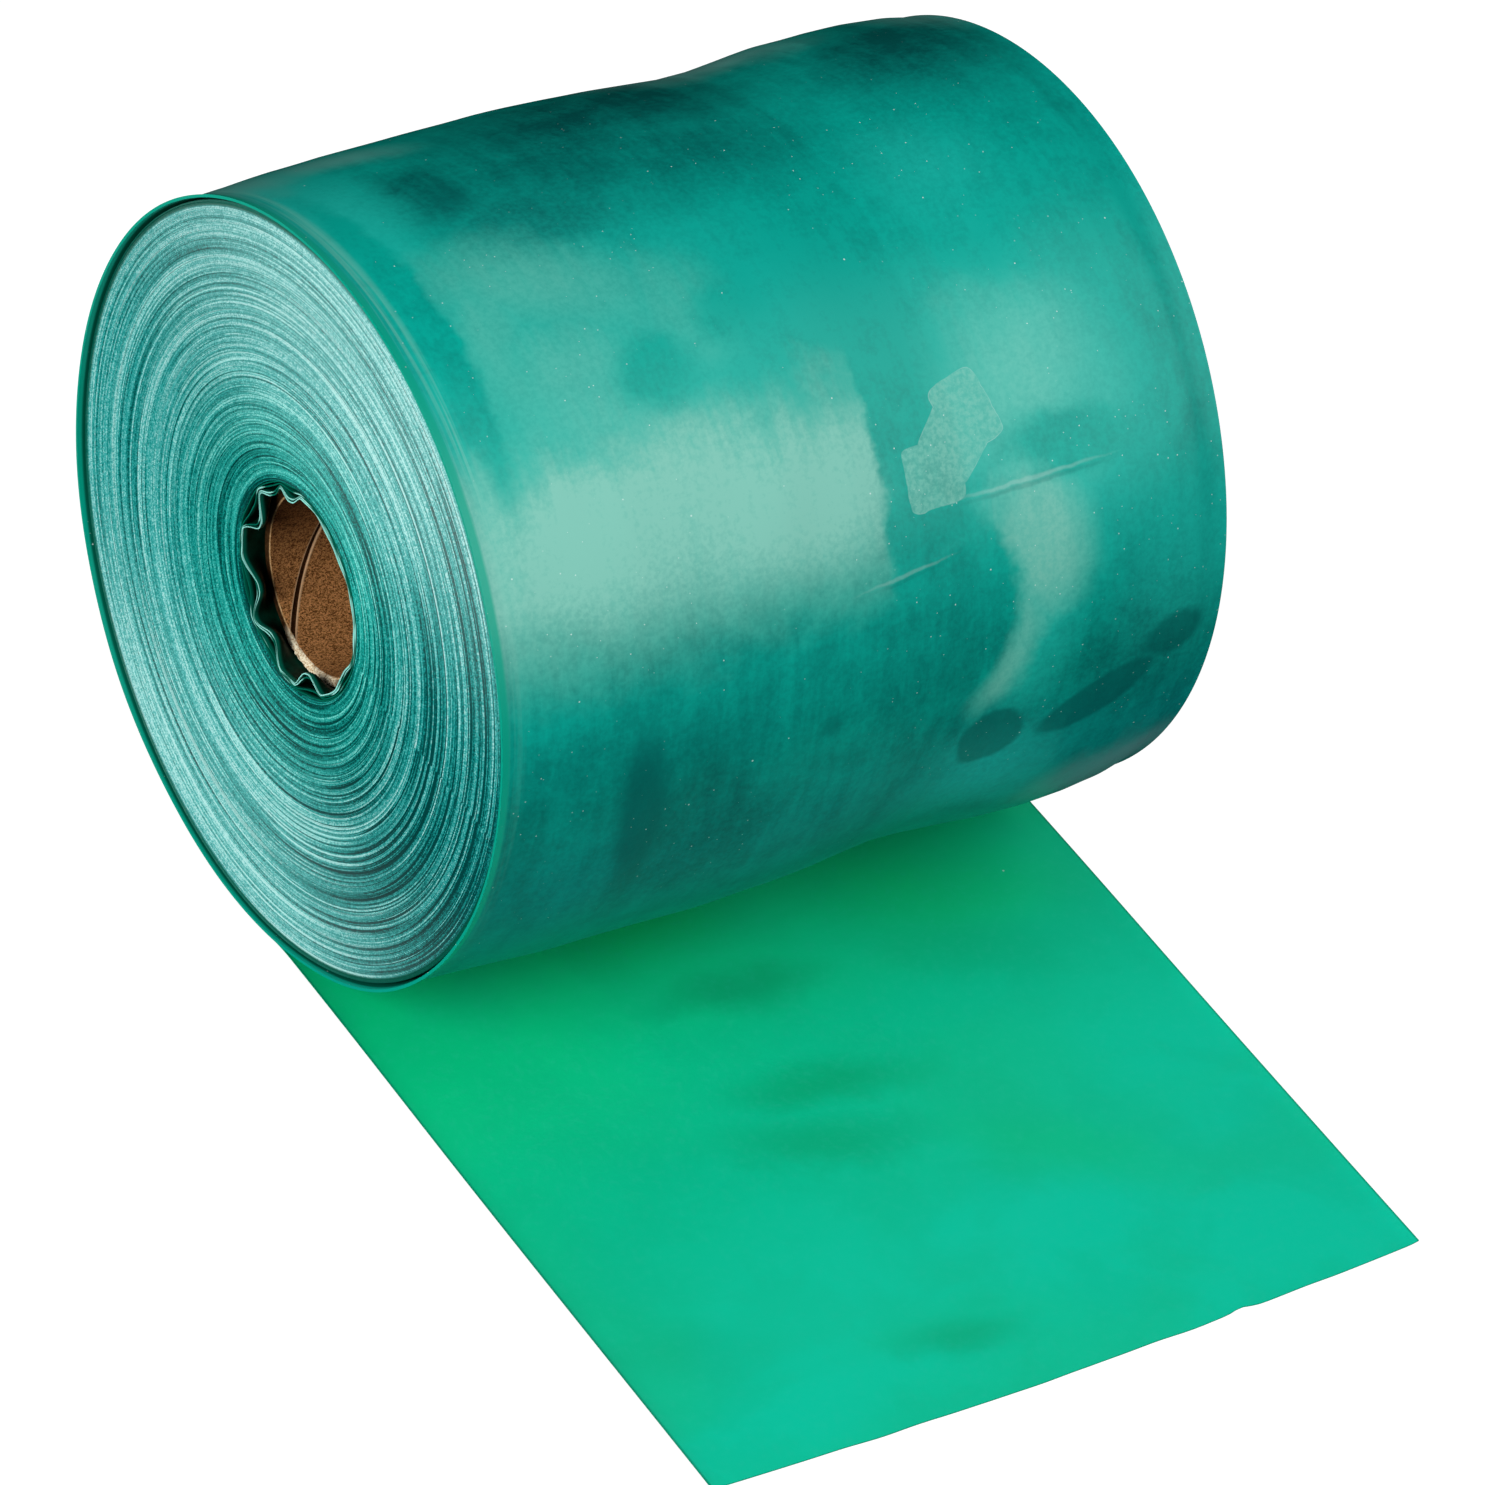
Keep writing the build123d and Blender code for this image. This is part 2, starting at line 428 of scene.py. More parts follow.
class SkinShader(Shader):
    """The outermost turn: deep teal where it sticks, hazy where air is under it, with painted shade,
    sheen and glints.
    """

    def __init__(self):
        super().__init__("latex_outer_turn", IOR=1.4, Roughness=0.36, Specular_Tint=LATEX_SHINE)
        self.spot = self.place()
        self.x, self.arc = unrolled(self, self.spot)
        self.cloudy = self.noise(self.spot, 45, 4.0, 0.6, 0.4)
        self.broad = self.noise(self.spot, 17, 3.0, 0.5)
        self.streaky = self.noise(self.spot, (420, 45, 45), 5.0, 0.65)
        self.small = self.noise(self.spot, 190, 3.0, 0.6)
        self.fine = self.noise(self.spot, 1100, 3.0, 0.65)
        sway = self.times(self.minus(self.cloudy, 0.5), SWAY)
        smear = self.times(self.minus(self.streaky, 0.5), SMEAR)
        jitter = self.times(self.minus(self.small, 0.5), JITTER)
        little = self.times(jitter, 0.28)
        # (x, arc) as soft, firm and crisp patches see them, each pushed about less than the last
        along = self.plus(self.x, self.times(sway, 0.35))
        self.soft = along, self.plus(self.arc, self.plus(sway, smear))
        self.firm = self.plus(self.x, jitter), self.minus(self.arc, jitter)
        self.crisp = self.plus(self.x, little), self.minus(self.arc, little)

    def hazes(self, blister):
        """How much pale haze with painted sheen, and how much plain haze, each point has."""
        milky_sheen = self.times(
            self.step(self.soft[1], *MILKY_SHEEN_BELT_TOP, 0.0, 0.8),
            self.step(self.soft[1], *MILKY_SHEEN_BELT_BOTTOM, 1.0, 0.0),
            self.step(self.firm[0], *MILKY_SHEEN_BELT_SIDE, 1.0, 0.0),
            self.step(self.cloudy, 0.36, 0.62, 0.84, 1.08),
        )
        milky_sheen = self.plus(milky_sheen, patches(self, *self.soft, MILKY_AND_SHEEN_PATCHES))
        haze = patches(self, *self.soft, HAZE_PATCHES)
        clear = patches(self, *self.firm, CLEAR_PATCHES)
        clear = self.times(clear, self.step(self.firm[0], 1, 4))
        clear = self.math("MAXIMUM", clear, patches(self, *self.firm, WINDOWS))
        not_clear = self.minus(1.0, clear)
        powdery = self.step(self.fine, 0.35, 0.65, 0.46, 0.66)
        milky_sheen = self.times(milky_sheen, not_clear)
        milky_sheen = self.math("MAXIMUM", milky_sheen, self.times(blister, powdery))
        haze = self.times(haze, not_clear)
        grain = self.step(self.fine, 0.3, 0.7, 0.82, 1.14)
        texture = self.times(grain, self.step(self.streaky, 0.3, 0.7, 0.88, 1.09))
        return self.times(milky_sheen, texture), self.times(haze, texture)

    def depth(self):
        """How dark each point is: where the turn sticks, and painted shade at the roll's top and
        bottom.
        """
        uneven = self.step(self.plus(self.broad, self.cloudy), 0.75, 1.3, 0.0, 0.22)
        mottled = self.step(self.plus(self.small, self.streaky), 0.7, 1.3, -0.13, 0.13)
        grainy = self.step(self.fine, 0.3, 0.7, 0.10, -0.10)
        dark = patches(self, *self.soft, DARK_AND_SHADE_PATCHES)
        return self.plus(dark, self.plus(uneven, self.plus(mottled, grainy)))

    def lay_edge(self):
        """Lay pale streaks beside the near edge, its green lip, and painted shade on the inside of
        the lip.
        """
        edge = SKIN_NEAR_X / MM
        streak = self.noise(self.spot, (1500, 25, 25), 3.0)
        border = self.times(
            self.step(self.x, edge + 3.0, edge + 4.6, 0.36, 0.0),
            self.step(self.arc, 48, 74, 1.0, 0.15),
            self.step(streak, 0.4, 0.65),
        )
        self.lay(border, MILKY_HAZE_AND_SHEEN)
        self.lay(self.step(self.x, edge + 0.5, edge + 1.3, 0.9, 0.0), EDGE_GREEN)
        # Painted shade on the inside of the lip, which faces the axis
        inside = self.times(self.step(self.x, edge + 0.05, edge + 0.5), facing_axis(self, self.spot))
        self.lay(inside, LIP_SHADE)

    def lay_dust(self, blister):
        """Lay the blister's pale rim and specks of dust."""
        rim = self.times(blister, self.minus(1.0, blister))
        rim = self.times(rim, self.step(self.small, 0.42, 0.58, 0.2, 1.3))
        self.lay(rim, DUST_AND_HIGHLIGHT)
        flecks = self.specks(self.spot, 2.0 * MM, 0.15 * MM, 0.26)
        dust = self.specks(self.spot, 0.9 * MM, 0.12 * MM, 0.34)
        dusty = self.step(self.plus(self.cloudy, self.broad), 0.90, 1.15)
        flecks = self.math("MAXIMUM", flecks, self.times(dust, dusty))
        self.lay(self.times(flecks, 0.85), DUST_AND_HIGHLIGHT)


def skin_material():
    """Lay the outermost turn's colours over one another, from the ground to the dust."""
    skin = SkinShader()
    blister = patches(skin, *skin.crisp, BLISTER, boxy=True)
    milky_sheen, haze = skin.hazes(blister)
    # Deep teal where the turn sticks, and painted shade
    skin.tone = skin.colour_mix(skin.depth(), ROLL_CLEAR, ROLL_DARK)
    skin.lay(haze, HAZE)
    # Pale haze, and the painted sheen of the key light
    skin.lay(milky_sheen, MILKY_HAZE_AND_SHEEN)
    # Painted glints near the silhouettes
    skin.lay(patches(skin, *skin.soft, PAINTED_GLINT_PATCHES), PAINTED_GLINT)
    # Dark spots, and the painted shade and painted highlight of the creases
    for listed, colour in ((DARK_SPOTS, ROLL_DARK), (CREASE_SHADE, ROLL_DARK), (CREASE_HIGHLIGHT, DUST_AND_HIGHLIGHT)):
        skin.lay(patches(skin, *skin.crisp, listed), colour)
    skin.lay(skin.step(skin.arc, 88, 114), UNDERSIDE_TINT, blend="MULTIPLY")
    skin.lay_edge()
    skin.lay_dust(blister)
    skin.colour(skin.tone)
    skin.bump(skin.plus(skin.times(skin.fine, 0.6), skin.streaky), 0.06 * MM, 0.35)
    return skin.material


# Tones of the turns' edges, from the gaps between them to the edges that stand out
TURN_GAP = (0.0003, 0.075, 0.07, 1)
TURN_LOW = (0.006, 0.35, 0.32, 1)
TURN_PALE = (0.085, 0.55, 0.52, 1)
TURN_PROUD = (0.50, 0.88, 0.84, 1)
HUB_TINT = (0.35, 1.0, 0.90, 1)  # a multiplier
PALE_GREY = (0.72, 0.72, 0.70, 1)
FACE_BRIGHTNESS = 0.60  # before lines and shade are added


def face_material():
    """The edges of the wound turns: pale where an edge stands out, dark in the gaps."""
    shader = Shader("latex_turn_edges", Roughness=0.55, IOR=1.45, Specular_Tint=LATEX_SHINE)
    place = shader.place()
    _, y, z = shader.xyz(place)
    across = shader.node("ShaderNodeCombineXYZ", {1: y, 2: z})
    radius = shader.length(across)
    angle = shader.math("ARCTAN2", z, y)
    turns = shader.math("DIVIDE", radius, BAND_THICKNESS)
    turns = shader.minus(turns, shader.math("DIVIDE", angle, TURN))
    outward = shader.vector_math("NORMALIZE", across)

    def lines(turns_apart, drift, detail, roughness):
        """Random values that run along the turns and slowly change on the way round."""
        count = shader.node("ShaderNodeCombineXYZ", {0: shader.math("DIVIDE", turns, turns_apart)})
        slow = shader.scaled(outward, drift)
        where = shader.vector_math("ADD", count, slow)
        return shader.noise(where, detail=detail, roughness=roughness)

    def fine_line(turns_apart, width, strength):
        """Thin lines about so many turns apart, where a random value crosses its middle."""
        value = lines(turns_apart, 0.35, 1.0, 0.5)
        off = shader.math("ABSOLUTE", shader.minus(value, 0.5))
        return shader.step(off, width / 2, width, strength, 0.0)

    grain = shader.noise(place, 3600, 2.0, 0.7)
    powder = shader.noise(place, 900, 3.0, 0.7)
    groups = shader.step(lines(7.0, 0.8, 3.0, 0.6), 0.34, 0.66, -0.06, 0.06)
    ridges = shader.step(lines(1.4, 0.5, 1.0, 0.6), 0.36, 0.64, -0.19, 0.19)
    gaps = fine_line(2.7, 0.06, -0.40)
    deep_gaps = fine_line(3.6, 0.06, -0.24)
    crests = fine_line(2.1, 0.05, 0.20)
    relief = shader.plus(ridges, gaps, deep_gaps, crests)
    # Painted light: the lines stand out more towards -Y
    relief = shader.times(relief, shader.step(y, -45 * MM, 35 * MM, 1.2, 0.7))
    sparkle = shader.step(grain, 0.28, 0.74, -0.24, 0.28)
    cloud = shader.step(powder, 0.3, 0.7, -0.08, 0.08)
    hub = shader.step(radius, 17 * MM, 34 * MM, -0.14, 0.02)
    mouth = shader.step(radius, HUB_RADIUS + 0.3 * MM, HUB_RADIUS + 1.5 * MM, -0.2, 0.0)
    # Lighter towards the top and the bottom of the face
    lighter_top_and_bottom = shader.step(z, -20 * MM, 55 * MM, 0.0, 0.16)
    lighter_top_and_bottom = shader.plus(lighter_top_and_bottom, shader.step(z, -56 * MM, -22 * MM, 0.23, 0.0))
    shaded = shader.step(y, -58 * MM, -14 * MM, -0.33, 0.01)
    bright = shader.plus(FACE_BRIGHTNESS, groups, relief, sparkle, cloud, hub, mouth, lighter_top_and_bottom, shaded)
    shader.tone = shader.node("ShaderNodeValToRGB", {0: bright})
    ramp = shader.tone.node.color_ramp
    ramp.elements[0].color = TURN_GAP
    ramp.elements[1].color = TURN_PROUD
    ramp.elements.new(0.40).color = TURN_LOW
    ramp.elements.new(0.68).color = TURN_PALE
    greener = shader.step(radius, HUB_RADIUS, 38 * MM, 0.75, 0.0)
    shader.lay(greener, HUB_TINT, blend="MULTIPLY")
    # Paler towards the top and the bottom of the face
    paler_top_and_bottom = shader.step(z, 8 * MM, 50 * MM, 0.0, 0.15)
    paler_top_and_bottom = shader.plus(paler_top_and_bottom, shader.step(z, -50 * MM, -10 * MM, 0.09, 0.0))
    shader.lay(paler_top_and_bottom, PALE_GREY)
    # Painted shade on the face just behind the lip
    shade_behind_lip = shader.step(radius, WOUND_RADIUS - 1.05 * MM, WOUND_RADIUS - 0.6 * MM, 0.0, 0.9)
    shader.lay(shade_behind_lip, LIP_SHADE)
    shader.colour(shader.tone)
    shader.bump(grain, 0.05 * MM, 0.5)
    return shader.material


# Where the free end looks yellower, and where shade of its swells is painted on it: patches as on the
# roll, with x and y in mm
SHEET_SHADE_PATCHES = [
    (-3, -48, 11, 3.6, 6, 0.9, 0.85),
    (-2, -70.5, 13, 4.2, 8, 0.9, 0.75),
    (-9, -81, 13, 4.2, 16, 0.9, 0.60),
    (-13, -124, 8, 3.5, 10, 0.9, 0.55),
    (36, -54, 13, 5, 20, 0.9, 0.35),
    (-50, -112, 10, 5, 20, 0.9, 0.25),
]
SHEET_YELLOW = [
    (-10, -29, 12, 7, 0, 0.9, 0.75),
    (37, -40, 16, 8, 20, 0.9, 0.60),
    (24, -96, 14, 6, 35, 0.9, 0.30),
]

# Colours of the free end
SHEET_AT_CUT_END = (0.0004, 0.63, 0.40, 1)
SHEET_MIDDLE = (0.0006, 0.565, 0.30, 1)
SHEET_LIT_AT_ROLL = (0.0006, 0.62, 0.235, 1)
SHEET_UNEVEN = (0.0006, 0.55, 0.26, 1)
YELLOW_TONE = (0.0006, 0.55, 0.17, 1)
SHEET_SHADE_TONE = (0.0004, 0.40, 0.17, 1)
SHEET_CLOUD = (0.0004, 0.46, 0.22, 1)
SHEET_GRAIN = (0.05, 0.62, 0.47, 1)
SHEET_BORDER = (0.0004, 0.27, 0.15, 1)


def sheet_material(name, place_of):
    """The free end: one thickness of clear green latex over the floor."""
    shader = Shader(name, IOR=1.45, Coat_Weight=0.12, Coat_Roughness=0.15)
    place = place_of(shader)
    wide = shader.noise(place, (16, 24, 1), 3.0, 0.5, 0.4)
    cloud = shader.noise(place, (60, 60, 1), 4.0, 0.6, 0.4)
    fine = shader.noise(place, 900, 3.0, 0.6)
    across, lengthways, _ = shader.xyz(place)
    along = shader.plus(lengthways, shader.times(wide, 40 * MM))
    along = shader.minus(along, shader.times(across, 0.3))
    towards_roll = shader.step(along, -100 * MM, -45 * MM)
    shader.tone = shader.colour_mix(towards_roll, SHEET_AT_CUT_END, SHEET_MIDDLE)
    # Painted light: lighter towards the roll, against the roll's shadow
    shader.lay(shader.step(along, -60 * MM, 0), SHEET_LIT_AT_ROLL)
    patchy = shader.step(wide, 0.40, 0.62, 0.0, 0.4)
    shader.lay(patchy, SHEET_UNEVEN)
    sway = shader.times(shader.minus(cloud, 0.5), 9.0)
    x = shader.plus(shader.times(across, 1 / MM), sway)
    y = shader.plus(shader.times(lengthways, 1 / MM), sway)
    shader.lay(patches(shader, x, y, SHEET_YELLOW), YELLOW_TONE)
    # Painted shade of the sheet's swells
    shader.lay(patches(shader, x, y, SHEET_SHADE_PATCHES), SHEET_SHADE_TONE)
    shader.lay(shader.step(cloud, 0.42, 0.62, 0.0, 0.16), SHEET_CLOUD)
    shader.lay(shader.step(fine, 0.45, 0.8, 0.0, 0.10), SHEET_GRAIN)
    side = shader.math("ABSOLUTE", across)
    border = shader.step(side, BAND_EDGE - 0.45 * MM, BAND_EDGE - 0.1 * MM, 0.0, 0.75)
    shader.lay(border, SHEET_BORDER)
    flecks = shader.specks(place, 5.0 * MM, 0.2 * MM, 0.12)
    shader.lay(shader.times(flecks, 0.6), DUST_AND_HIGHLIGHT)
    shader.colour(shader.tone)
    shader.roughness(shader.step(wide, 0.3, 0.7, 0.38, 0.48))
    shader.bump(fine, 0.03 * MM, 0.3)
    return shader.material


# Colours of the loose inner turns, whose dark tones are painted shade inside the mouth
LOOSE_DEEP_SHADE = (0.0002, 0.010, 0.005, 1)
LOOSE_SHADED = (0.0004, 0.026, 0.015, 1)
LOOSE_NEAR_EDGE = (0.0006, 0.15, 0.095, 1)
LOOSE_CUT_EDGE = (0.34, 0.88, 0.77, 1)


def inner_material():
    """Loose inner turns: painted shade, nearly black inside and lighter near the mouth, with pale cut
    edges.
    """
    shader = Shader("latex_inner_turns", Roughness=0.5, Specular_Tint=LATEX_SHINE)
    shader.surface.inputs["Specular IOR Level"].default_value = 0.15
    place = shader.place()
    fine = shader.noise(place, 500, 3.0)
    out = shader.math("ABSOLUTE", shader.xyz(place)[0])
    near = shader.step(out, INNER_TURNS_FACE_X - 1.0 * MM, INNER_TURNS_FACE_X - 0.35 * MM)
    edge = shader.step(out, INNER_TURNS_FACE_X - 0.16 * MM, INNER_TURNS_FACE_X - 0.03 * MM)
    # Painted shade: nearly black inside, lighter towards the cut edge
    shader.tone = shader.colour_mix(shader.step(fine, 0.3, 0.7), LOOSE_DEEP_SHADE, LOOSE_SHADED)
    shader.lay(near, LOOSE_NEAR_EDGE)
    shader.lay(edge, LOOSE_CUT_EDGE)
    shader.colour(shader.tone)
    shader.bump(fine, 0.05 * MM, 0.4)
    return shader.material


# Paper: dark and pale fibres of each kind
LINER = [(0.085, 0.030, 0.006, 1), (0.70, 0.325, 0.115, 1)]
# The board plies are dark as painted shade: the middle ply shows through the liner's seam as the
# shade in the gap
BOARD_AS_SHADE = [(0.030, 0.012, 0.004, 1), (0.085, 0.036, 0.012, 1)]
RIM_SHADE = [(0.022, 0.009, 0.003, 1), (0.06, 0.028, 0.01, 1)]
RIM_CRISP = [(0.30, 0.16, 0.06, 1), (0.62, 0.40, 0.20, 1)]
RIM_FLUFF = [(0.50, 0.28, 0.11, 1), (1.0, 0.90, 0.66, 1)]
TISSUE = [(0.58, 0.53, 0.40, 1), (0.80, 0.76, 0.62, 1)]
PAPER_FLECK = (0.03, 0.014, 0.006, 1)
PAPER_SHADE = (0.045, 0.016, 0.003, 1)
SEAM_FUZZ = (0.70, 0.46, 0.26, 1)

# The inner ply's butt seam: a helix that meets the rim at -X at this angle
SEAM_PITCH = 49 * MM
SEAM_GAP = 0.9 * MM
SEAM_RIM_ANGLE = math.radians(-72)


def seam_distance(shader, place):
    """Distance across the inner ply from the middle of its spiral seam."""
    x, y, z = shader.xyz(place)
    angle = shader.minus(shader.math("ARCTAN2", z, y), SEAM_RIM_ANGLE)
    travelled = shader.math("DIVIDE", shader.plus(x, CORE_END_X), SEAM_PITCH)
    phase = shader.minus(shader.math("DIVIDE", angle, TURN), travelled)
    off = shader.math("ABSOLUTE", shader.minus(phase, shader.math("ROUND", phase)))
    girth = TURN * CORE_BORE_RADIUS
    return shader.times(off, girth * SEAM_PITCH / math.hypot(girth, SEAM_PITCH))


def kraft_material(name, dark, pale, seamed=False):
    """Brown board: short fibres, dark specks, a little fuzz, and painted shade towards the top of the
    bore.
    """
    shader = Shader(name, Roughness=0.9, IOR=1.45)
    place = shader.place()
    fibres = shader.noise(place, (2300, 3400, 3400), 4.0, 0.7, 0.3)
    pulp = shader.noise(place, 4600, 3.0, 0.7)
    mottle = shader.plus(shader.times(fibres, 0.5), shader.times(pulp, 0.5))
    shader.tone = shader.colour_mix(shader.step(mottle, 0.41, 0.59), dark, pale)
    flecks = shader.specks(place, 0.8 * MM, 0.15 * MM, 0.3)
    shader.lay(shader.times(flecks, 0.65), PAPER_FLECK)
    # Painted shade: darker towards the top of the bore
    shade_at_top = shader.step(shader.xyz(place)[2], -13 * MM, 8 * MM, 0.0, 0.70)
    shader.lay(shade_at_top, PAPER_SHADE)
    if seamed:
        cut = shader.step(seam_distance(shader, place), 0.58 * SEAM_GAP, 0.8 * SEAM_GAP, 0.7, 0.0)
        shader.lay(cut, SEAM_FUZZ)
    shader.colour(shader.tone)
    shader.bump(mottle, 0.12 * MM, 0.7)
    return shader.material


def tape_material():
    """Pale tissue tape under the first turn."""
    shader = Shader("tissue_tape", Roughness=0.7)
    tissue = shader.noise(shader.place(), 900, 4.0, 0.7)
    shader.colour(shader.colour_mix(shader.step(tissue, 0.3, 0.7), *TISSUE))
    return shader.material


def floor_material():
    """A plain pale studio floor."""
    shader = Shader("studio_floor", Roughness=0.9)
    shader.surface.inputs["Base Color"].default_value = (0.3, 0.3, 0.3, 1)
    shader.surface.inputs["Emission Color"].default_value = (1, 1, 1, 1)
    shader.surface.inputs["Emission Strength"].default_value = 0.9
    return shader.material


# ------------------------ wound turns

def face_depth(radius):
    """How far the end face sinks in, towards the hub."""
    return HUB_DISH * (1 - smoothstep(HUB_RADIUS, DISH_RADIUS, radius)) ** 1.5


def wound_half(name, side, seed):
    """Half of the wound roll, whose end face is the spiral of all its turn edges."""
    outer = WOUND_RADIUS
    turns = int((outer - HUB_RADIUS) / BAND_THICKNESS)
    rows = np.arange(2 * turns + 4)[:, None]
    angle = np.linspace(0, TURN, FACE_STEPS + 1)[None, :]
    turn = rows // 2 + angle / TURN
    radius = HUB_RADIUS + BAND_THICKNESS * (rows / 2 - 1 + angle / TURN)
    radius = np.clip(radius, HUB_RADIUS, outer)
    stray = 0.12 * MM * value_noise(turn * 0.83, seed)
    stray += 0.06 * MM * value_noise(turn * 2.9, seed + 1)
    stray += 0.05 * MM * value_noise(turn * 0.21, seed + 2)
    proud = value_noise(turn * 0.61, seed + 3)
    stray -= 0.15 * MM * smoothstep(0.66, 0.92, proud)
    stray += 0.17 * MM * smoothstep(0.72, 0.95, -proud)
    depth = face_depth(radius) + stray + GROOVE_DEPTH * (rows % 2)
    at_border = (radius <= HUB_RADIUS) | (radius >= outer)
    depth = np.where(at_border, face_depth(radius) + 0.3 * MM, depth)
    face = round_roll(side * (FACE_X - depth), radius, angle)
    middle_outer = round_roll(0.0, outer, angle)
    middle_inner = round_roll(0.0, HUB_RADIUS, angle)
    points = np.concatenate([face, middle_outer, middle_inner])
    piece = grid_mesh(name, points, wrap_rows=True, smooth=False)
    tidy_mesh(piece)
    return piece


# The band over the roll isn't a true cylinder: its bulges along the roll, in mm
BULGE_X = np.array([-64, -56, -48, -40, -30, -14, -2, 5, 11, 18, 25, 32, 38, 46, 52, 58, 64])
BULGE = np.array([0, 0.3, 0.9, 1.3, 1.4, 1.7, 1.5, 1.1, 0.6, 0.0, 0.1, 0.7, 1.3, 1.5, 1.4, 0.9, 0])


def from_bottom(angle):
    """How far round the roll a point is from the line where it stands, from 0 to pi."""
    return np.abs((angle + TURN / 4 + math.pi) % TURN - math.pi)


def skin_bulge(x, angle):
    """How far the outermost turn stands off the winding, from trapped air."""
    along = np.interp(x / MM, BULGE_X, BULGE)
    lying = smoothstep(0.25, 0.9, from_bottom(angle))
    uneven = 1 + 0.30 * ring_wobble(angle, [1, 2, 3], 11) + 0.12 * ring_wobble(angle, [5, 7], 12)
    ripple = 0.12 * ring_wobble(angle + x / (30 * MM), [4, 9, 13], 13)
    edge = smoothstep(0, 6 * MM, BAND_EDGE - np.abs(x))
    bubble = bubble_height(x, angle)
    return MM * lying * edge * (along * uneven + ripple) + bubble * edge


def bubble_height(x, angle):
    """A flat air bubble with a crease running off its lower corner."""
    top_angle = (TURN / 4 - angle + math.pi) % TURN - math.pi
    arc = -top_angle * SKIN_RADIUS
    u, v = (x - 17 * MM) / MM, (arc - 50 * MM) / MM
    blister = 1 - smoothstep(0.75, 1.05, np.hypot(u / 9.5, v / 8.5))
    crease_line = v - 7.0 - 0.05 * u
    crease = np.exp(-((crease_line / 0.9) ** 2)) * smoothstep(-2, 6, u) * (1 - smoothstep(20, 27, u))
    second = v - 17.5 + 0.18 * (u + 10)
    fold = np.exp(-((second / 0.8) ** 2)) * smoothstep(-22, -14, u) * (1 - smoothstep(-4, 3, u))
    return MM * (0.14 * blister + 0.09 * crease + 0.05 * fold)


def uneven_steps(low, high, fine_low, fine_high, coarse, fine):
    """Steps from low to high that are finer in one stretch."""
    before = np.arange(low, fine_low, coarse)
    within = np.arange(fine_low, fine_high, fine)
    after = np.linspace(fine_high, high, max(2, int((high - fine_high) / coarse) + 1))
    return np.concatenate([before, within, after])


def outer_skin():
    """The last turns of band, whose edge has crept out past the face at -X."""
    thickness = 0.46 * MM
    x = uneven_steps(SKIN_NEAR_X, BAND_EDGE, 2 * MM, 46 * MM, 1.1 * MM, 0.55 * MM)[:, None]
    fine_from, fine_to = math.radians(118), math.radians(165)
    angle = uneven_steps(0, TURN, fine_from, fine_to, math.radians(1.15), math.radians(0.6))[:-1]
    angle = angle[None, :]
    outer_radius = SKIN_RADIUS + skin_bulge(x, angle)
    share = (x - SKIN_NEAR_X) / (BAND_EDGE - SKIN_NEAR_X)
    lip = MM * (0.35 * ring_wobble(angle, [1, 2, 3], 21) + 0.10 * ring_wobble(angle, [7, 11], 22))
    far_lip = MM * 0.3 * ring_wobble(angle, [1, 3, 4], 23)
    moved = x - (0.35 * MM + lip) * (1 - share) ** 12 + far_lip * share**12
    flare = 0.5 * MM * (1 - smoothstep(0, 2.2 * MM, x - SKIN_NEAR_X))
    flare = flare * smoothstep(0.3, 0.8, from_bottom(angle))
    flare = flare * (1 + 0.6 * ring_wobble(angle, [1, 2, 5], 24))
    outside = round_roll(moved, outer_radius + flare, angle)
    inside = round_roll(moved, outer_radius + flare - thickness, angle)
    points = np.concatenate([outside, inside[::-1]])
    piece = grid_mesh("outer_turns_of_band", points, wrap_rows=True, wrap_columns=True)
    tidy_mesh(piece)
    sharpen(piece)
    return piece


# Buckled edges of the first turns at the mouth: (degrees from +Y towards +Z, mm inwards)
NEAR_WAVES = [
    (-176, 0.1), (-163, 0.8), (-148, 0.1), (-131, 0.2), (-118, 3.2), (-101, 0.3), (-88, 0.1),
    (-72, 3.4), (-54, 0.3), (-37, 4.3), (-16, 0.4), (-2, 0.2), (18, 3.9), (34, 0.3), (47, 1.3),
    (58, 0.2), (68, 1.8), (80, 0.1), (100, 0.0), (122, 0.3), (150, 0.0),
]
FAR_WAVES = [
    (-170, 2.6), (-152, 0.2), (-136, 3.1), (-116, 0.3), (-98, 0.1), (-80, 1.9), (-62, 0.2),
    (-40, 0.0), (-12, 0.4), (14, 0.0), (36, 2.8), (55, 0.3), (76, 3.6), (97, 0.3), (117, 2.2),
    (133, 0.2), (150, 0.9), (168, 0.1),
]
INNER_SHEETS = 4
SHEET_FOLLOWS = [1.0, 0.86, 0.32, 0.10]  # how much of the waves each turn takes


def wave_round(angle, waves):
    """Read a list of (degrees, inward mm) as a smooth closed curve."""
    degrees = np.degrees(angle)
    places = np.array([w[0] for w in waves], float)
    heights = np.array([w[1] for w in waves], float)
    places = np.concatenate([places - 360, places, places + 360])
    heights = np.tile(heights, 3)
    index = np.clip(np.searchsorted(places, degrees) - 1, 0, len(places) - 2)
    t = (degrees - places[index]) / (places[index + 1] - places[index])
    rising = heights[index + 1] > heights[index]
    t = smoothstep(0, 1, np.where(rising, t, 1 - t))
    t = 1 - (1 - t) ** 1.5
    low = np.minimum(heights[index], heights[index + 1])
    high = np.maximum(heights[index], heights[index + 1])
    return MM * (low + (high - low) * t)


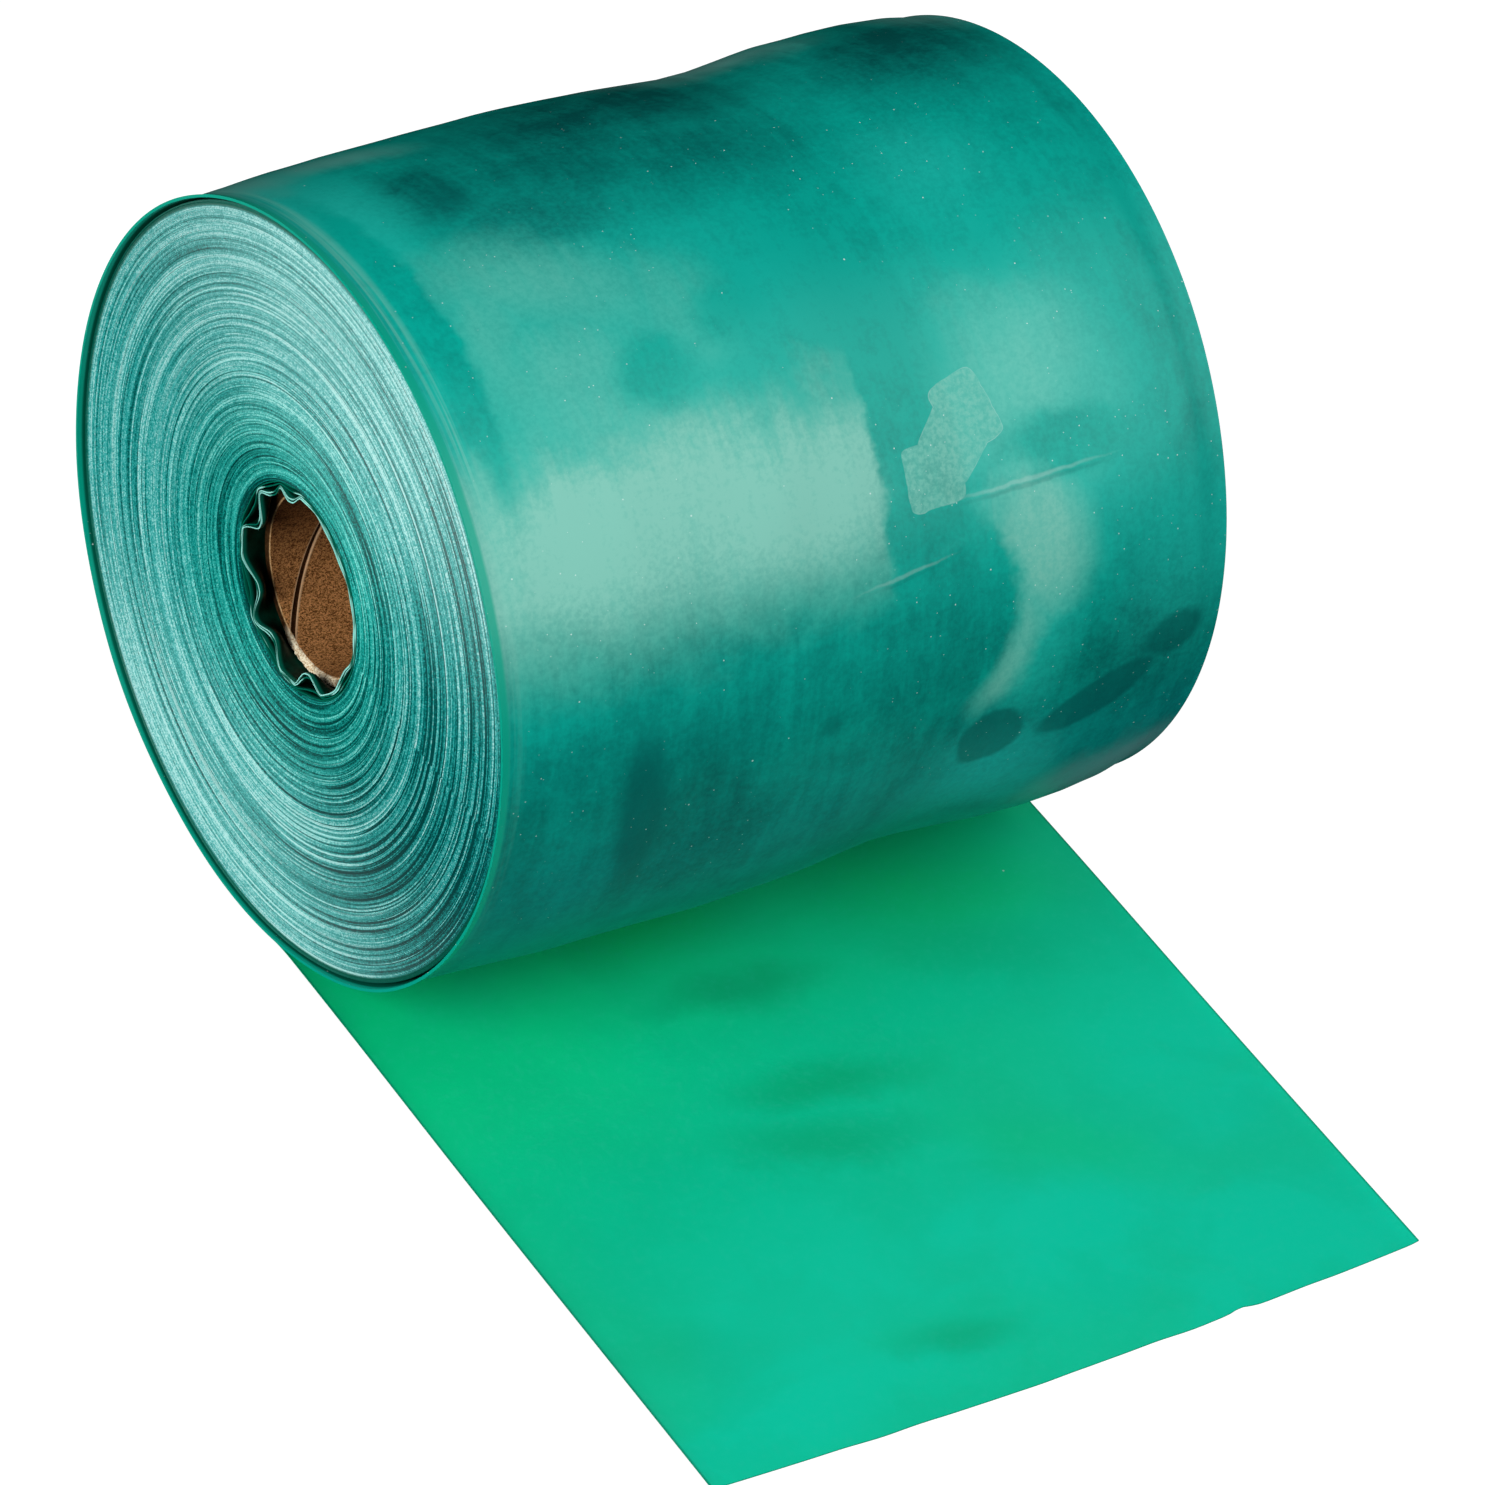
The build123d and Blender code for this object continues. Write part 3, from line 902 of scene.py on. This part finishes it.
def inner_sheet(number):
    """One of the first turns of band: it lies on the core, and its free edges buckle inwards."""
    thickness = 0.2 * MM
    clearance = 0.06 * MM
    radius = INNER_TURNS_OUTER_RADIUS - (INNER_SHEETS - number) * 0.25 * MM + clearance
    angle = np.radians(np.arange(-180, 180, 0.75))[None, :]
    end = INNER_TURNS_FACE_X
    near = -end + np.array([0, 0.35, 0.8, 1.3, 1.9, 2.5, 3.1, 3.7, 4.2, 5.0, 8.0]) * MM
    x = np.concatenate([near, [-20 * MM, 20 * MM], -near[::-1]])[:, None]
    near_wave = wave_round(angle, NEAR_WAVES) * (1 - smoothstep(0.6 * MM, 3.9 * MM, x + end))
    far_wave = wave_round(angle, FAR_WAVES) * (1 - smoothstep(0.6 * MM, 3.9 * MM, end - x))
    inward = SHEET_FOLLOWS[number] * (near_wave + far_wave)
    at_end = smoothstep(0.9, 1.0, np.abs(x) / end)
    ragged = 0.25 * MM * ring_wobble(angle, [3, 8, 17], 31 + number) * at_end
    moved = x + np.sign(x) * (ragged - 0.1 * MM * number * at_end)
    outside = round_roll(moved, radius + thickness - inward, angle)
    inside = round_roll(moved, radius - inward, angle)
    points = np.concatenate([outside, inside[::-1]])
    piece = grid_mesh(f"loose_turn_{number + 1}", points, wrap_rows=True, wrap_columns=True)
    tidy_mesh(piece)
    sharpen(piece)
    return piece


# Where the core's cut end is torn, in degrees from +Y towards +Z
TORN_FROM, TORN_TO = -132, -62


def core_rim(name, side):
    """The cut end of the paper core: crisp in most places, and torn in one stretch."""
    degrees = np.arange(-180, 180, 0.75)[:, None]
    angle = np.radians(degrees)
    profile = np.linspace(0, TURN, 16, endpoint=False)[None, :]
    torn = smoothstep(TORN_FROM, TORN_FROM + 14, degrees)
    torn = torn * (1 - smoothstep(TORN_TO - 14, TORN_TO, degrees))
    fibres = value_noise(degrees / 1.9 + 5 * np.cos(profile), 41)
    clumps = value_noise(degrees / 6.3 + 2 * np.cos(profile) + 500, 42)
    burr = MM * (0.10 + 0.04 * fibres + torn * (0.50 + 0.34 * clumps + 0.24 * fibres))
    middle = (CORE_BORE_RADIUS + CORE_OUTER_RADIUS) / 2
    half = (CORE_OUTER_RADIUS - CORE_BORE_RADIUS) / 2
    radius = middle + (half - 0.02 * MM) * np.cos(profile)
    frayed = MM * torn * (0.20 + 0.18 * clumps + 0.08 * fibres)
    radius = radius - frayed * (np.cos(profile) < 0) * np.sin(profile) ** 2
    inside = 0.3 * MM * np.sin(profile)
    out = np.where(np.sin(profile) > 0, np.sin(profile) * burr, inside)
    points = round_roll(side * (CORE_END_X + out), radius, angle)
    piece = grid_mesh(name, points, wrap_rows=True, wrap_columns=True)
    tidy_mesh(piece)
    return piece


def rim_material():
    """The core's cut end: dark as painted shade, with a pale line at the bore's corner, and pale
    where the board is torn.
    """
    shader = Shader("core_cut_end", Roughness=0.95, IOR=1.45)
    place = shader.place()
    _, y, z = shader.xyz(place)
    degrees = shader.times(shader.math("ARCTAN2", z, y), 360 / TURN)
    torn = shader.step(degrees, TORN_FROM, TORN_FROM + 16)
    torn = shader.times(torn, shader.step(degrees, TORN_TO - 12, TORN_TO, 1.0, 0.0))
    pulp = shader.noise(place, 2400, 4.0, 0.7)
    clumps = shader.noise(place, 900, 2.0, 0.5)
    across = shader.length(shader.scaled(place, (0, 1, 1)))
    bore = CORE_BORE_RADIUS
    corner = shader.step(across, bore + 0.12 * MM, bore + 0.4 * MM, 1.0, 0.0)
    grain = shader.step(pulp, 0.35, 0.65)
    # Painted shade over the cut end, away from the pale line at the bore's corner
    board = shader.colour_mix(grain, *RIM_SHADE)
    crisp = shader.colour_mix(grain, *RIM_CRISP)
    whole = shader.colour_mix(corner, board, crisp)
    fluffy = shader.step(pulp, 0.36, 0.56)
    fluff = shader.colour_mix(fluffy, *RIM_FLUFF)
    uneven = shader.times(torn, shader.step(clumps, 0.25, 0.5, 0.35, 1.0))
    shader.colour(shader.colour_mix(uneven, whole, fluff))
    shader.bump(pulp, 0.15 * MM, 0.8)
    return shader.material


# ------------------------ free end

def lie(x, y):
    """Height of the free end's underside over the floor: gentle swells, flat near its end."""
    near_roll = smoothstep(-95 * MM, -25 * MM, y)
    clear_of_contact = 1 - smoothstep(-16 * MM, -7 * MM, y)
    sway = 0.6 * np.sin(x / (31 * MM))
    swell = 0.5 + 0.5 * np.sin(x / (23 * MM) + 1.2) * np.sin(y / (19 * MM) + sway)
    small = 0.5 + 0.5 * np.sin(x / (9 * MM) + y / (13 * MM))
    ends = 0.25 + 0.75 * near_roll
    return MM * clear_of_contact * ends * (0.5 * swell + 0.07 * small)


def band_strip(name, from_y, to_y, cut=False):
    """One length of the free end as a thin solid sheet."""
    rows = max(8, int(abs(to_y - from_y) / (1.3 * MM)))
    x = np.linspace(-BAND_EDGE, BAND_EDGE, 97)[None, :]
    y = np.linspace(from_y, to_y, rows + 1)[:, None] + 0 * x
    share = (y - from_y) / (to_y - from_y)
    if cut:
        bow = (CUT_END_Y - to_y) * (1 - (x / BAND_EDGE) ** 2)
        nick = 0.16 * MM * value_noise(x / (7 * MM) + 40, 51) * (1 - (x / BAND_EDGE) ** 2)
        snip = 0.5 * MM * np.exp(-((x - 30 * MM) / (1.8 * MM)) ** 2)
        y = y + (bow + nick + snip) * share
    x = x + 0 * y
    low = FLOOR_Z + lie(x, y)
    edge_curl = 0.25 * MM * smoothstep(BAND_EDGE - 2.5 * MM, BAND_EDGE, np.abs(x)) ** 2
    low = low + edge_curl * (1 - smoothstep(-14 * MM, -8 * MM, y))
    under = np.stack([x, y, low], axis=-1)
    over = np.stack([x, y, low + BAND_THICKNESS], axis=-1)
    points = np.concatenate([over, under[::-1]])
    piece = grid_mesh(name, points, wrap_rows=True)
    close_sides(piece, points.shape)
    tidy_mesh(piece)
    sharpen(piece)
    keep_rest_place(piece)
    return piece


def close_sides(piece, shape):
    """Close the two long edges of a strip that was made as a loop of rows."""
    rows, columns, _ = shape
    work = bmesh.new()
    work.from_mesh(piece.data)
    work.verts.ensure_lookup_table()
    for column in (0, columns - 1):
        for row in range(rows // 2 - 1):
            opposite = rows - 1 - row
            places = [row, row + 1, opposite - 1, opposite]
            work.faces.new([work.verts[p * columns + column] for p in places])
    work.to_mesh(piece.data)
    work.free()


def keep_rest_place(piece):
    """Store each point's place at rest, so that the pattern moves with the sheet."""
    attribute = piece.data.attributes.new("rest_place", "FLOAT_VECTOR", "POINT")
    places = np.zeros(len(piece.data.vertices) * 3)
    piece.data.vertices.foreach_get("co", places)
    attribute.data.foreach_set("vector", places)


# Where the band comes off the roll, in degrees from +Y towards +Z
TAKE_OFF_FROM, TAKE_OFF_TO = -90, -52


def take_off():
    """The band as it comes round the back of the roll and meets the floor."""
    angles = np.radians(np.linspace(TAKE_OFF_FROM, TAKE_OFF_TO, 40))
    x = np.linspace(-BAND_EDGE, BAND_EDGE, 65)[None, :]
    flat_y = np.linspace(CONTACT_Y, 0, 6)[:-1, None]
    level = np.full_like(flat_y, FLOOR_Z)
    taper = np.linspace(1, 0.04, len(angles))[:, None]
    radius = -FLOOR_Z - (1 - taper) * (-FLOOR_Z - SKIN_RADIUS)
    radius = radius + skin_bulge(x, angles[:, None]) + 0.03 * MM * (1 - taper)
    curve = round_roll(x, radius, angles[:, None])
    flat = np.stack(np.broadcast_arrays(x, flat_y, level), axis=-1)
    under = np.concatenate([flat, curve])
    curve_top = round_roll(x, radius - BAND_THICKNESS * taper, angles[:, None])
    flat_top = np.stack(np.broadcast_arrays(x, flat_y, level + BAND_THICKNESS), axis=-1)
    over = np.concatenate([flat_top, curve_top])
    points = np.concatenate([over, under[::-1]])
    piece = grid_mesh("band_meeting_floor", points, wrap_rows=True)
    close_sides(piece, points.shape)
    tidy_mesh(piece)
    sharpen(piece)
    return piece


# ------------------------ studio

CAMERA_TARGET = Vector((-0.75, -34.07, -21.9)) * MM
CAMERA_AZIMUTH = math.radians(-40.79)
CAMERA_ELEVATION = math.radians(40.14)
CAMERA_ROLL = math.radians(12.38)
CAMERA_DISTANCE = 1307.4 * MM
CAMERA_LENS = 211.96


def make_camera():
    """A long lens from the front left, above, tilted a little to one side."""
    camera = bpy.data.objects.new("camera", bpy.data.cameras.new("camera"))
    bpy.context.scene.collection.objects.link(camera)
    camera.data.sensor_width = 36
    camera.data.lens = CAMERA_LENS
    camera.data.clip_end = 20
    level = math.cos(CAMERA_ELEVATION)
    back = Vector((
        math.sin(CAMERA_AZIMUTH) * level,
        -math.cos(CAMERA_AZIMUTH) * level,
        math.sin(CAMERA_ELEVATION),
    ))
    right = (-back).cross(Vector((0, 0, 1))).normalized()
    up = right.cross(-back)
    turned_right = math.cos(CAMERA_ROLL) * right + math.sin(CAMERA_ROLL) * up
    turned_up = math.cos(CAMERA_ROLL) * up - math.sin(CAMERA_ROLL) * right
    axes = Matrix((turned_right, turned_up, back)).transposed().to_4x4()
    camera.matrix_world = Matrix.Translation(CAMERA_TARGET + back * CAMERA_DISTANCE) @ axes
    bpy.context.scene.camera = camera


def soft_light(name, direction, distance, size, power, mirrored=True):
    """A square softbox that faces the roll from the given direction."""
    light = bpy.data.lights.new(name, "AREA")
    light.size = size
    light.energy = power
    lamp = bpy.data.objects.new(name, light)
    bpy.context.scene.collection.objects.link(lamp)
    towards = Vector(direction).normalized()
    lamp.location = towards * distance
    lamp.rotation_euler = towards.to_track_quat("Z", "Y").to_euler()
    lamp.visible_glossy = mirrored


def make_studio():
    """A pale floor, a pale surrounding and soft lights from the front."""
    bpy.ops.mesh.primitive_plane_add(size=8, location=(0, 0, FLOOR_Z - 0.02 * MM))
    floor = bpy.context.object
    floor.name = "floor"
    floor.data.materials.append(floor_material())
    floor.visible_diffuse = False
    floor.visible_glossy = False
    world = bpy.data.worlds.new("studio")
    world.use_nodes = True
    world.node_tree.nodes["Background"].inputs[0].default_value = (0.93, 0.96, 1.0, 1)
    world.node_tree.nodes["Background"].inputs[1].default_value = 0.10
    world.cycles_visibility.glossy = False
    bpy.context.scene.world = world
    soft_light("key", (0.5, -0.60, 0.63), distance=1.3, size=1.4, power=12.6)
    # The fill isn't mirrored, as it would bleach the free end when seen from the far side
    soft_light(
        "face_fill", (-0.89, -0.18, 0.42), distance=1.3, size=0.7, power=15.2, mirrored=False
    )
    bpy.context.scene.view_settings.view_transform = "Standard"


# ------------------------ assembly

def dress(piece, material):
    """Give a piece its material."""
    piece.data.materials.clear()
    piece.data.materials.append(material)


def build_roll():
    """Everything that turns with the core."""
    edges = face_material()
    halves = [wound_half("wound_turns_near", -1, 100), wound_half("wound_turns_far", 1, 200)]
    for half in halves:
        dress(half, edges)
        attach(half, "roll")
    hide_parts("wound_band")

    skin = outer_skin()
    dress(skin, skin_material())
    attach(skin, "roll")
    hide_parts("outer_turns")

    inner = inner_material()
    sheets = [inner_sheet(number) for number in range(INNER_SHEETS)]
    for sheet in sheets:
        dress(sheet, inner)
        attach(sheet, "roll")
    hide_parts("inner_turns")

    rim_paper = rim_material()
    for name, side in (("core_rim_near", -1), ("core_rim_far", 1)):
        rim = core_rim(name, side)
        dress(rim, rim_paper)
        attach(rim, "roll")

    liner = kraft_material("core_liner", *LINER, seamed=True)
    # The board is dark as painted shade in the seam's gap
    board = kraft_material("core_board", *BOARD_AS_SHADE)
    papers = {"core_inner_ply": liner, "core_middle_ply": board, "core_outer_ply": board}
    for name, paper in papers.items():
        dress(frame["nodes"][name], paper)
    dress(frame["nodes"]["start_tape"], tape_material())


def build_free_end():
    """The band from the roll's contact line out to its cut end."""
    lying = sheet_material("latex_sheet_laid", Shader.place)
    moving = sheet_material("latex_sheet_free", Shader.rest_place)
    laid_middle = (LAID_FROM_Y + LAID_TO_Y) / 2
    middles = [sum(corner.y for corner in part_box(panel)) / 2 for panel in TAIL_PANELS]

    contact = take_off()
    dress(contact, lying)
    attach(contact, "contact")
    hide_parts("contact_band")

    paid_out = band_strip("band_paid_out", CONTACT_Y, laid_middle)
    dress(paid_out, lying)
    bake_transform(paid_out)
    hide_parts("paid_out_span", "laid_band")

    stretch = band_strip("band_stretching", laid_middle, middles[0])
    dress(stretch, moving)
    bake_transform(stretch)
    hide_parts("stretch_span", "tail_panel_1")

    for index in range(1, len(TAIL_PANELS)):
        last = index == len(TAIL_PANELS) - 1
        from_y, to_y = middles[index - 1], middles[index]
        end_y = CUT_END_Y + 1.5 * MM if last else to_y
        piece = band_strip(f"band_bend_{index}", from_y, end_y, cut=last)
        dress(piece, moving)
        # The first bend starts at its hinge, so that no part of it dips into the floor
        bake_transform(piece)
        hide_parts(TAIL_PANELS[index])


make_camera()
make_studio()
build_roll()
build_free_end()
